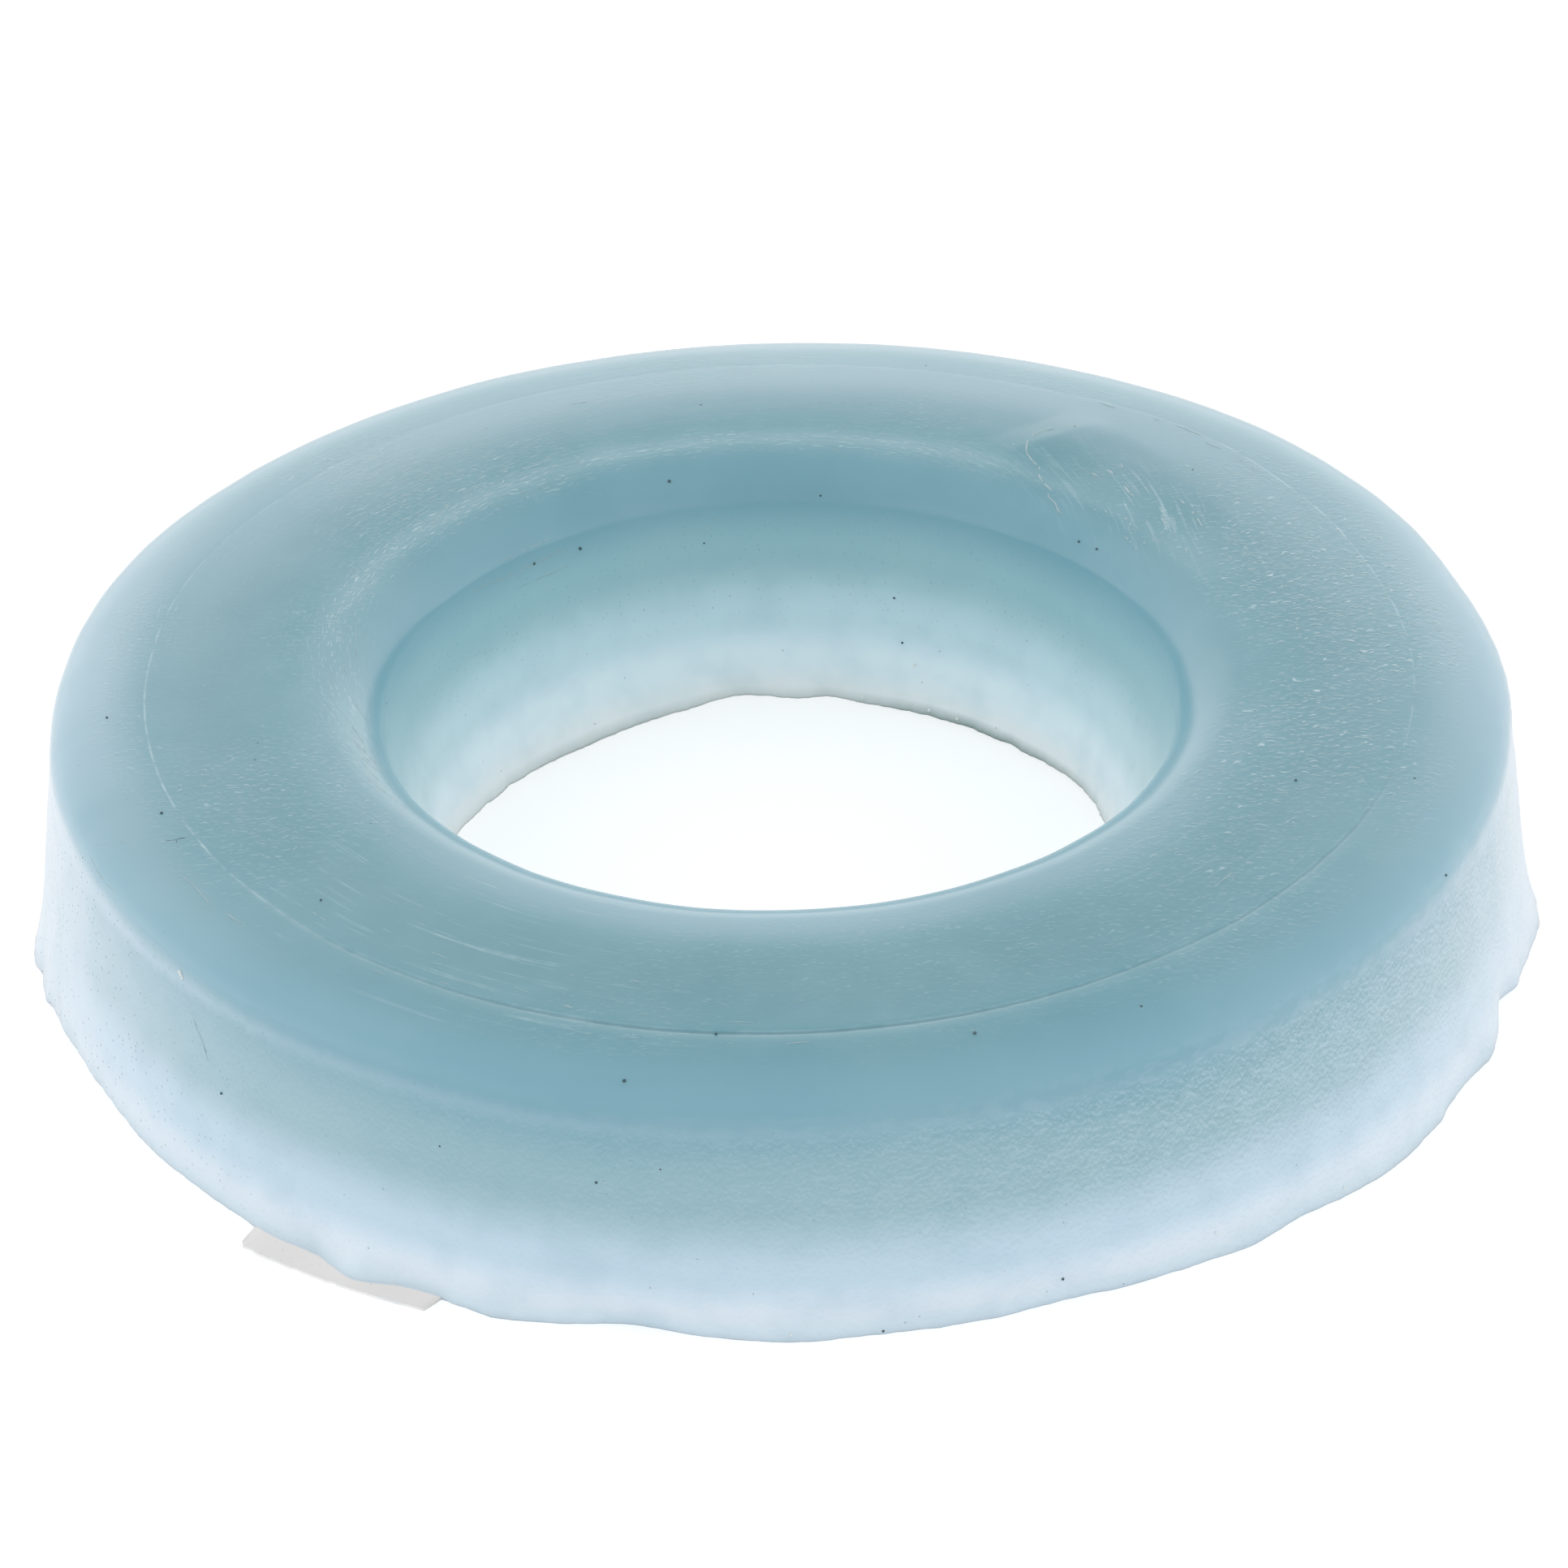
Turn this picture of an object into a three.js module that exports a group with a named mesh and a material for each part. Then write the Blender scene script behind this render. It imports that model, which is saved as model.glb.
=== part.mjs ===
// Toilet flange gasket: one ring of petroleum wax, cast in an open mould and turned out on its foot.
// Millimetres, +Z up. The origin is the centre of the foot, on the surface that the ring lies on.
// Angles are in degrees about +Z from +X, so 270 is the side along -Y and 90 is the side along +Y.

import * as THREE from 'three';
import { mergeVertices } from 'three/addons/utils/BufferGeometryUtils.js';

// Driving dimensions of the ring's section, in millimetres
const height = 21.5;
const footRadius = 63.3;
const outerDraft = 2.4;
const outerShoulderReach = 8.0;
const outerShoulderDrop = 3.6;
const boreFootRadius = 28.5;
const boreDraft = 4.8;
const innerShoulderReach = 5.0;
const innerShoulderDrop = 4.2;
const witnessWidth = 0.5;
const witnessDepth = 0.1;

// The top is slightly crowned: it is level in a narrow land round this radius, where the bowl seats,
// and falls away from the land towards both shoulders
const crownRadius = 45.5;
const crownLand = 3.0;
const crownOuterDrop = 0.55;
const crownInnerDrop = 0.45;

// How full each shoulder's round is: 2 is a plain ellipse, and more is squarer
const outerFullness = 2.6;
const innerFullness = 1.76;

// The ragged edges of the foot, where the wax ran out under the rim of its mould
const lipHeight = 6.0;
const outerLips = [
  { at: 174, spread: 4, reach: 0.8 },
  { at: 189, spread: 4, reach: 0.7 },
  { at: 207, spread: 8, reach: -0.6 },
  { at: 231, spread: 4, reach: 0.45 },
  { at: 238.5, spread: 2.8, reach: 1.3 },
  { at: 249, spread: 4, reach: 0.8 },
  { at: 259, spread: 3.5, reach: -0.9 },
  { at: 270, spread: 3.5, reach: 0.45 },
  { at: 289, spread: 4, reach: -0.45 },
  { at: 303, spread: 3, reach: 0.6 },
  { at: 318, spread: 7, reach: 1.2 },
  { at: 333, spread: 3, reach: 0.6 },
  { at: 340, spread: 3, reach: -0.7 },
  { at: 351, spread: 5, reach: 0.95 },
  { at: 4, spread: 3, reach: 0.6 },
  { at: 27, spread: 8, reach: -0.3 },
  { at: 60, spread: 10, reach: 0.4 },
  { at: 95, spread: 6, reach: -0.4 },
  { at: 125, spread: 9, reach: 0.5 },
  { at: 151, spread: 5, reach: -0.3 },
];
const boreLips = [
  { at: 25, spread: 12, reach: 0.7 },
  { at: 81, spread: 4, reach: 0.8 },
  { at: 97, spread: 7, reach: 1.15 },
  { at: 128, spread: 16, reach: -1.0 },
  { at: 166, spread: 7, reach: 0.8 },
  { at: 205, spread: 9, reach: -0.4 },
  { at: 240, spread: 7, reach: 0.5 },
  { at: 285, spread: 10, reach: -0.5 },
  { at: 330, spread: 8, reach: 0.4 },
];

// The flash is a thin flake of the same wax, smeared out flat past the foot
const flash = { from: 228.5, to: 245, reachFrom: 2.9, reachTo: 2.0, rootHeight: 0.9, edgeHeight: 0.3 };

// Thumb marks, each a long shallow dish in plan, with the wax it moved piled up at its start
const thumbMarks = [
  { startAngle: 53, startRadius: 43.0, endAngle: 20, endRadius: 40.0, halfWidth: 6.0, depth: 0.45, pile: 0.3 },
  { startAngle: 117, startRadius: 36.4, endAngle: 158, endRadius: 36.0, halfWidth: 3.4, depth: 0.5, pile: 0.1 },
  { startAngle: 199, startRadius: 58.6, endAngle: 214, endRadius: 58.2, halfWidth: 3.6, depth: 0.4, pile: 0.05 },
];

// How finely the revolve is cut up
const segmentsRound = 120;
const wallSteps = 9;
const outerShoulderSteps = 9;
const plateauSteps = 3;
const innerShoulderSteps = 7;
const boreSteps = 7;

// Sizes that follow from the driving ones
const wallTopHeight = height - outerShoulderDrop;
const wallTopRadius = footRadius - outerDraft;
const plateauOuterRadius = wallTopRadius - outerShoulderReach;
const boreLipHeight = height - innerShoulderDrop;
const boreLipRadius = boreFootRadius + boreDraft;
const plateauInnerRadius = boreLipRadius + innerShoulderReach;
const landOuterRadius = crownRadius + crownLand / 2;
const landInnerRadius = crownRadius - crownLand / 2;
const undersideMiddle = (footRadius + boreFootRadius) / 2;
const degree = Math.PI / 180;

// How far the crown has fallen away at a radius
function crownDrop(radius) {
  const outward = THREE.MathUtils.smoothstep(radius, landOuterRadius, wallTopRadius);
  const inward = 1 - THREE.MathUtils.smoothstep(radius, boreLipRadius, landInnerRadius);
  return crownOuterDrop * outward + crownInnerDrop * inward;
}

// The ring's section, walked once round: underside, outer wall, shoulder, top, shoulder, bore
function ringSection() {
  const rows = [new THREE.Vector2(undersideMiddle, 0)];

  // The outer wall leans in, and its rows crowd towards the foot, where the lip is
  for (let step = 0; step < wallSteps; step += 1) {
    const share = (step / wallSteps) ** 2;
    rows.push(new THREE.Vector2(footRadius - outerDraft * share, wallTopHeight * share));
  }

  // The wide outer shoulder is a quarter of a superellipse
  for (let step = 0; step <= outerShoulderSteps; step += 1) {
    const turn = (1 - step / outerShoulderSteps) * Math.PI / 2;
    const out = Math.sin(turn) ** (2 / outerFullness);
    const up = Math.abs(Math.cos(turn)) ** (2 / outerFullness);
    const radius = plateauOuterRadius + outerShoulderReach * out;
    const ownDrop = (outerShoulderDrop - crownOuterDrop) * (1 - up);
    rows.push(new THREE.Vector2(radius, height - crownDrop(radius) - ownDrop));
  }

  // The witness line that the mould's edge left is a fine groove round the top
  const witnessRadius = plateauOuterRadius - witnessWidth / 2;
  rows.push(new THREE.Vector2(witnessRadius, height - crownDrop(witnessRadius) - witnessDepth));
  const topOuterRadius = plateauOuterRadius - witnessWidth;
  for (let step = 0; step <= plateauSteps; step += 1) {
    const radius = THREE.MathUtils.lerp(topOuterRadius, landOuterRadius, step / plateauSteps);
    rows.push(new THREE.Vector2(radius, height - crownDrop(radius)));
  }
  for (let step = 0; step < plateauSteps; step += 1) {
    const radius = THREE.MathUtils.lerp(landInnerRadius, plateauInnerRadius, step / plateauSteps);
    rows.push(new THREE.Vector2(radius, height - crownDrop(radius)));
  }

  // The inner shoulder is steeper and rounder
  for (let step = 0; step <= innerShoulderSteps; step += 1) {
    const turn = step / innerShoulderSteps * Math.PI / 2;
    const inward = Math.sin(turn) ** (2 / innerFullness);
    const up = Math.abs(Math.cos(turn)) ** (2 / innerFullness);
    const radius = plateauInnerRadius - innerShoulderReach * inward;
    const ownDrop = (innerShoulderDrop - crownInnerDrop) * (1 - up);
    rows.push(new THREE.Vector2(radius, height - crownDrop(radius) - ownDrop));
  }

  // The bore narrows on its way down to the foot
  for (let step = boreSteps - 1; step >= 0; step -= 1) {
    const share = (step / boreSteps) ** 2;
    rows.push(new THREE.Vector2(boreFootRadius + boreDraft * share, boreLipHeight * share));
  }
  rows.push(rows[0].clone());
  return rows;
}

// The shorter way round from one angle to another, in degrees
function turnBetween(from, to) {
  return THREE.MathUtils.euclideanModulo(to - from + 180, 360) - 180;
}

// How far the foot's edge runs in or out at an angle
function lipAt(angle, lips) {
  return lips.reduce((sum, lip) => sum + lip.reach * Math.exp(-((turnBetween(lip.at, angle) / lip.spread) ** 2)), 0);
}

// How far the flash reaches past the foot at an angle: one end is feathered and the other is broken off
function flashAt(angle) {
  const share = turnBetween(flash.from, angle) / (flash.to - flash.from);
  if (share <= 0 || share >= 1) {
    return 0;
  }
  const feather = THREE.MathUtils.smoothstep(share, 0, 0.15);
  return feather * THREE.MathUtils.lerp(flash.reachFrom, flash.reachTo, share);
}

// The drop or rise of the wax that one thumb mark gives at a point seen from above
function thumbMarkAt(x, y, mark) {
  const start = new THREE.Vector2(mark.startRadius, 0).rotateAround(new THREE.Vector2(), mark.startAngle * degree);
  const end = new THREE.Vector2(mark.endRadius, 0).rotateAround(new THREE.Vector2(), mark.endAngle * degree);
  const along = end.clone().sub(start);
  const fromStart = new THREE.Vector2(x, y).sub(start);
  const share = fromStart.dot(along) / along.lengthSq();
  const aside = Math.abs(fromStart.cross(along)) / along.length() / mark.halfWidth;
  const ends = THREE.MathUtils.smoothstep(share, -0.1, 0.15) * (1 - THREE.MathUtils.smoothstep(share, 0.6, 1.1));
  const dish = -mark.depth * ends * Math.max(0, 1 - aside ** 2);
  const pileShare = Math.max(0, 1 - Math.abs(share + 0.12) / 0.14);
  return dish + mark.pile * pileShare * Math.max(0, 1 - aside ** 2);
}

// The revolved ring, with its lips, its flash and its thumb marks pressed into the same skin
function waxRingGeometry() {
  const lathe = new THREE.LatheGeometry(ringSection(), segmentsRound);
  lathe.rotateX(Math.PI / 2);
  lathe.deleteAttribute('normal');
  lathe.deleteAttribute('uv');
  const geometry = mergeVertices(lathe);
  const position = geometry.getAttribute('position');
  for (let index = 0; index < position.count; index += 1) {
    const x = position.getX(index);
    const y = position.getY(index);
    const z = position.getZ(index);
    const radius = Math.hypot(x, y);
    const angle = Math.atan2(y, x) / degree;
    const nearFoot = Math.max(0, 1 - z / lipHeight) ** 2;
    let push = 0;
    if (radius > undersideMiddle + 1) {
      const inFlash = 1 - THREE.MathUtils.smoothstep(z, flash.edgeHeight, flash.rootHeight);
      push = lipAt(angle, outerLips) * nearFoot + flashAt(angle) * inFlash;
    } else if (radius < undersideMiddle - 1) {
      push = lipAt(angle, boreLips) * nearFoot;
    }
    const onTop = THREE.MathUtils.smoothstep(z, boreLipHeight, boreLipHeight + 0.6 * innerShoulderDrop);
    const sink = onTop * thumbMarks.reduce((sum, mark) => sum + thumbMarkAt(x, y, mark), 0);
    const grown = (radius + push) / radius;
    position.setXYZ(index, x * grown, y * grown, z + sink);
  }
  geometry.computeVertexNormals();
  return geometry;
}

const wax = new THREE.MeshStandardMaterial({ color: 0x9dc1ca, roughness: 0.45, metalness: 0 });
const waxRing = new THREE.Mesh(waxRingGeometry(), wax);
waxRing.name = 'wax_ring';

const gasket = new THREE.Group();
gasket.add(waxRing);

export default gasket;
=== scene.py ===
"""Looks of a toilet flange gasket: one ring of pale blue petroleum wax on a white floor."""
import functools
import math
import random

import bmesh
import bpy
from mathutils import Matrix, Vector, noise
from mathutils.bvhtree import BVHTree


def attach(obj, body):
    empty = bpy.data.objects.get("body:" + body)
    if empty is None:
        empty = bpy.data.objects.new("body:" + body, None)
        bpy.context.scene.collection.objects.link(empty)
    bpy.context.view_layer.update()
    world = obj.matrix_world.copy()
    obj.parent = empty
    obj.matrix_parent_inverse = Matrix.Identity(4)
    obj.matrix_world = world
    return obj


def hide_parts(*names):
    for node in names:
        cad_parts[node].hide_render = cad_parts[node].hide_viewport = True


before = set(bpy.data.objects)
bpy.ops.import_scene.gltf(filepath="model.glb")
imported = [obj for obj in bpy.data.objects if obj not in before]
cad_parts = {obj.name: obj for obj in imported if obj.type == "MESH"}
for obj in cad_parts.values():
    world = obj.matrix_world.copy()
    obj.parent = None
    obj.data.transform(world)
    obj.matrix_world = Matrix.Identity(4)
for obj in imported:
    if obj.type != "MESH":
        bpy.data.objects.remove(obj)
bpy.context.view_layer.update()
mm = 0.001

# The camera
# A long lens looks down on the ring from the front, a third of the way up to overhead.
# Its aim is a few millimetres behind the ring's axis, and it is rolled by about a degree.
camera_distance = 442.3 * mm
camera_elevation = math.radians(33.6)
camera_aim = Vector((0.2, 4.2, 6.5)) * mm
camera_roll = math.radians(-1.27)
camera_lens = 118.4

camera_data = bpy.data.cameras.new("camera")
camera_data.lens = camera_lens
camera_data.clip_start = 10 * mm
camera_data.clip_end = 20.0
camera = bpy.data.objects.new("camera", camera_data)
bpy.context.scene.collection.objects.link(camera)
camera.location = (
    0.0,
    -camera_distance * math.cos(camera_elevation),
    camera_distance * math.sin(camera_elevation),
)
camera.rotation_euler = (camera_aim - camera.location).to_track_quat("-Z", "Y").to_euler()
camera.rotation_euler.rotate_axis("Z", camera_roll)
bpy.context.scene.camera = camera

# The wax ring
# One casting of soft petroleum wax, poured in an open mould and turned out on its foot, so its
# walls lean, its foot has a ragged lip, and its top is flat inside the fine line of the mould.
ring_height = 21.5 * mm
foot_radius = 63.3 * mm
outer_draft = 2.4 * mm
outer_shoulder_reach = 8.0 * mm
outer_shoulder_drop = 3.6 * mm
outer_fullness = 2.6
bore_foot_radius = 28.5 * mm
bore_draft = 4.8 * mm
inner_shoulder_reach = 5.0 * mm
inner_shoulder_drop = 4.2 * mm
inner_fullness = 1.76
witness_width = 0.5 * mm
witness_depth = 0.1 * mm
crown_radius = 45.5 * mm
crown_land = 3.0 * mm
crown_outer_drop = 0.55 * mm
crown_inner_drop = 0.45 * mm

wall_top = ring_height - outer_shoulder_drop
wall_top_radius = foot_radius - outer_draft
bore_lip_radius = bore_foot_radius + bore_draft
plateau_outer_radius = wall_top_radius - outer_shoulder_reach
bore_lip_height = ring_height - inner_shoulder_drop
plateau_inner_radius = bore_lip_radius + inner_shoulder_reach
witness_radius = plateau_outer_radius - witness_width / 2
underside_middle = (foot_radius + bore_foot_radius) / 2


def evenly(first, last, steps):
    """Numbers from the first up to, but not at, the last."""
    return [first + (last - first) * step / steps for step in range(steps)]


def quarter_round(fullness, turn):
    """How far out and up a quarter of a superellipse is, from its top at turn 0 to its side at turn 1."""
    angle = turn * math.pi / 2
    return math.sin(angle) ** (2 / fullness), abs(math.cos(angle)) ** (2 / fullness)


def smooth(low, high, value):
    """A smooth step from 0 at low to 1 at high."""
    share = min(1.0, max(0.0, (value - low) / (high - low)))
    return share * share * (3 - 2 * share)


def crown_height(radius):
    """The height of the slightly crowned top at a radius, before the shoulders' own rounds."""
    outward = smooth(crown_radius + crown_land / 2, wall_top_radius, radius)
    inward = 1 - smooth(bore_lip_radius, crown_radius - crown_land / 2, radius)
    return ring_height - crown_outer_drop * outward - crown_inner_drop * inward


def ring_section():
    """The ring's outline in radius and height, walked up the outer wall, over the top and down the bore."""
    points = []
    for height in evenly(0.0, 0.35 * mm, 4):
        points.append((foot_radius - outer_draft * height / wall_top, height))
    for share in evenly(0.06, 1.0, 33):
        rise = share ** 1.35
        points.append((foot_radius - outer_draft * rise, wall_top * rise))
    for turn in evenly(1.0, 0.0, 20):
        out, up = quarter_round(outer_fullness, turn)
        radius = plateau_outer_radius + outer_shoulder_reach * out
        points.append((radius, crown_height(radius) - (outer_shoulder_drop - crown_outer_drop) * (1 - up)))
    for share in evenly(0.0, 1.0, 4):
        radius = plateau_outer_radius - witness_width * share
        points.append((radius, crown_height(radius)))
    for radius in evenly(plateau_outer_radius - witness_width, plateau_inner_radius, 26):
        points.append((radius, crown_height(radius)))
    for turn in evenly(0.0, 1.0, 14):
        inward, up = quarter_round(inner_fullness, turn)
        radius = plateau_inner_radius - inner_shoulder_reach * inward
        points.append((radius, crown_height(radius) - (inner_shoulder_drop - crown_inner_drop) * (1 - up)))
    for share in evenly(1.0, 0.0, 28):
        rise = share ** 1.35
        points.append((bore_foot_radius + bore_draft * rise, bore_lip_height * rise))
    for radius in evenly(bore_foot_radius, foot_radius, 6):
        points.append((radius, 0.0))
    return points


# The ring's skin is that outline spun once round, and each vertex keeps how far along the outline it is
segments_round = 720
skin = bmesh.new()
girth_layer = skin.verts.layers.float.new("girth")
outline = []
girth = 0.0
last_point = None
for radius, height in ring_section():
    if last_point is not None and (height > 0 or last_point[1] > 0):
        girth += math.hypot(radius - last_point[0], height - last_point[1])
    last_point = (radius, height)
    if height > wall_top and abs(radius - witness_radius) < witness_width / 8:
        girth_of_witness = girth
    if height <= wall_top and radius > underside_middle and height > 0:
        girth_of_crease = girth
    corner = skin.verts.new((radius, 0.0, height))
    corner[girth_layer] = girth
    outline.append(corner)
girth_length = girth
for first, second in zip(outline, outline[1:] + outline[:1]):
    skin.edges.new((first, second))
bmesh.ops.spin(
    skin,
    geom=skin.verts[:] + skin.edges[:],
    cent=(0, 0, 0),
    axis=(0, 0, 1),
    dvec=(0, 0, 0),
    angle=2 * math.pi,
    steps=segments_round,
    use_merge=True,
    use_normal_flip=False,
    use_duplicate=False,
)
bmesh.ops.remove_doubles(skin, verts=skin.verts[:], dist=0.001 * mm)
bmesh.ops.recalc_face_normals(skin, faces=skin.faces[:])

# The ragged edges of the foot: where each lip is in degrees, how wide it is, and how far it runs out in mm
lip_height = 6.0 * mm
outer_lips = [
    (174, 4, 0.8), (189, 4, 0.7), (207, 8, -0.6), (231, 4, 0.45), (238.5, 2.8, 1.3), (249, 4, 0.8),
    (259, 3.5, -0.9), (270, 3.5, 0.45), (289, 4, -0.45), (303, 3, 0.6), (318, 7, 1.2), (333, 3, 0.6),
    (340, 3, -0.7), (351, 5, 0.95), (4, 3, 0.6), (27, 8, -0.3), (60, 10, 0.4), (95, 6, -0.4),
    (125, 9, 0.5), (151, 5, -0.3),
]
small_lips = [(191.5, 1.0, -0.35), (195, 0.9, 0.35), (339.5, 1.2, -0.45), (342.5, 1.2, 0.4), (324, 1.5, 0.3)]
rim_swells = [(45, 22, 0.5), (13, 8, -0.3), (157, 14, 0.35)]
bore_lips = [
    (25, 12, 0.7), (81, 4, 0.8), (97, 7, 1.15), (128, 16, -1.0), (166, 7, 0.8),
    (205, 9, -0.4), (240, 7, 0.5), (285, 10, -0.5), (330, 8, 0.4),
]


def turn_between(start, end):
    """The shorter way round from one angle to another, in degrees."""
    return (end - start + 180) % 360 - 180


def lip_at(angle, lips):
    """How far the foot's edge runs in or out at an angle."""
    rises = (reach * math.exp(-((turn_between(at, angle) / spread) ** 2)) for at, spread, reach in lips)
    return mm * sum(rises)


def near_angle(angle, at, spread):
    """A soft window round an angle, from 0 to 1."""
    return math.exp(-((turn_between(at, angle) / spread) ** 2))


# The flash: a flake of the same wax smeared out past the foot, feathered at one end and broken at the other
flash_from = 228.8
flash_to = 244.8
flash_thickness = 0.18 * mm
flash_edge = 0.2


def flash_share(angle):
    """How far along the flash an angle is, or None outside it."""
    share = turn_between(flash_from, angle) / (flash_to - flash_from)
    return share if 0 < share < 1 else None


def flash_reach(angle):
    """How far the edge of the flash sticks out past the foot's circle."""
    share = flash_share(angle)
    if share is None:
        return 0.0
    broad_fray = 0.2 * noise.noise(Vector((angle * 1.4, 0.0, 3.0)))
    frayed = broad_fray + 0.12 * noise.noise(Vector((angle * 5, 0.0, 3.0)))
    return smooth(0.0, 0.06, share) * (2.9 - 0.9 * share + frayed * (1.2 - share)) * mm


# A thumb mark is a long shallow dish, with the wax that it moved piled up at its start
thumb_marks = [
    {"start": (53, 43.0), "end": (20, 40.0), "half_width": 6.0, "depth": 0.45, "pile": 0.3},
    {"start": (117, 36.4), "end": (158, 36.0), "half_width": 3.4, "depth": 0.5, "pile": 0.1},
    {"start": (199, 58.6), "end": (214, 58.2), "half_width": 3.6, "depth": 0.2, "pile": 0.05},
]


def at_angle(angle, radius):
    """A point in plan, from an angle in degrees and a radius in millimetres."""
    return Vector((math.cos(math.radians(angle)), math.sin(math.radians(angle)))) * radius * mm


def in_mark(point, mark):
    """Where a point lies in a thumb mark: its share of the way along, and how far aside in half widths."""
    start = at_angle(*mark["start"])
    along = at_angle(*mark["end"]) - start
    offset = point - start
    share = offset.dot(along) / along.length_squared
    aside = (offset.x * along.y - offset.y * along.x) / along.length / (mark["half_width"] * mm)
    return share, aside


def mark_depth(share, aside, mark):
    """The rise of the wax at a place in a thumb mark, and how much of the place is wiped smooth."""
    across = max(0.0, 1 - aside * aside)
    wiped = smooth(-0.1, 0.15, share) * (1 - smooth(0.6, 1.1, share)) * across
    pile = max(0.0, 1 - abs(share + 0.12) / 0.14) * across
    return (mark["pile"] * pile - mark["depth"] * wiped) * mm, wiped


# Masks that the wax's material reads, and the grain: the distance along the section, with a lean where
# the wax was swept aslant, so that streaks along the grain run as the photographed ones do
mask_layers = {
    name: skin.verts.layers.float.new(name)
    for name in (
        "grain", "dashed", "streaked", "swept", "scored", "scuffed", "pebbled", "speckled",
        "witness_pale_and_lit", "witness_trough_shade", "flash", "bore_foot_shade", "painted_sheen", "crease_highlit",
    )
}
swept_lean = 14.0 * mm
fan_lean = 6.5 * mm


@functools.lru_cache(maxsize=None)
def around(angle):
    """What the ring has at an angle: its lips, its ragged edge, its flash, and how strong each mask is."""
    round_x = math.cos(math.radians(angle))
    round_y = math.sin(math.radians(angle))
    ragged = noise.noise(Vector((round_x * 18, round_y * 18, 7.0)))
    ragged += 0.5 * noise.noise(Vector((round_x * 60, round_y * 60, 2.0)))
    return {
        "outer_lip": lip_at(angle, outer_lips) + lip_at(angle, small_lips),
        "bore_lip": lip_at(angle, bore_lips),
        "rim": lip_at(angle, rim_swells),
        "ragged": ragged,
        "flash": flash_reach(angle),
        "lean": swept_lean * smooth(14, 72, angle) - fan_lean * smooth(160, 220, angle),
        "dashed": near_angle(angle, 8, 48) + 0.45 * near_angle(angle, 180, 45) + 0.12,
        "streaked": near_angle(angle, 138, 36) + 0.35 * near_angle(angle, 95, 25),
        "swept": near_angle(angle, 38, 15),
        "fan": near_angle(angle, 192, 20),
        "crease": smooth(48, 62, angle) * (1 - smooth(150, 205, angle)),
        "scored": (
            near_angle(angle, 238, 26) + 0.6 * near_angle(angle, 312, 12) + 0.4 * near_angle(angle, 85, 25)
        ),
        "pebbled": 0.15 + near_angle(angle, 318, 42) + 0.4 * near_angle(angle, 20, 40),
        "speckled": near_angle(angle, 196, 26) + 0.5 * near_angle(angle, 20, 20),
        "witness_pale_and_lit": 0.35 + 0.65 * near_angle(angle, 205, 30) + 0.6 * near_angle(angle, 28, 32),
        "witness_trough_shade": near_angle(angle, 268, 34) + 0.5 * near_angle(angle, 325, 18),
        "witness_dip": min(1.0, 0.12 + near_angle(angle, 268, 40) + 0.5 * near_angle(angle, 325, 18)),
        "witness_wander": (0.1 + 0.8 * near_angle(angle, 262, 38) + 0.6 * near_angle(angle, 47, 10)) * mm,
        "bore_foot_shade": near_angle(angle, 50, 28) + 0.45 * near_angle(angle, 125, 25),
        "sheen_sides": 1.0 * near_angle(angle, 180, 31) + 0.75 * near_angle(angle, 0, 30),
        "sheen_back": 0.27 * near_angle(angle, 90, 75),
        "sheen_inner": 0.2 * near_angle(angle, 262, 50) + 0.06 * near_angle(angle, 325, 25),
        "crease_highlit": 0.25 + 1.2 * near_angle(angle, 214, 16) + 0.4 * near_angle(angle, 245, 14),
    }


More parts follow.
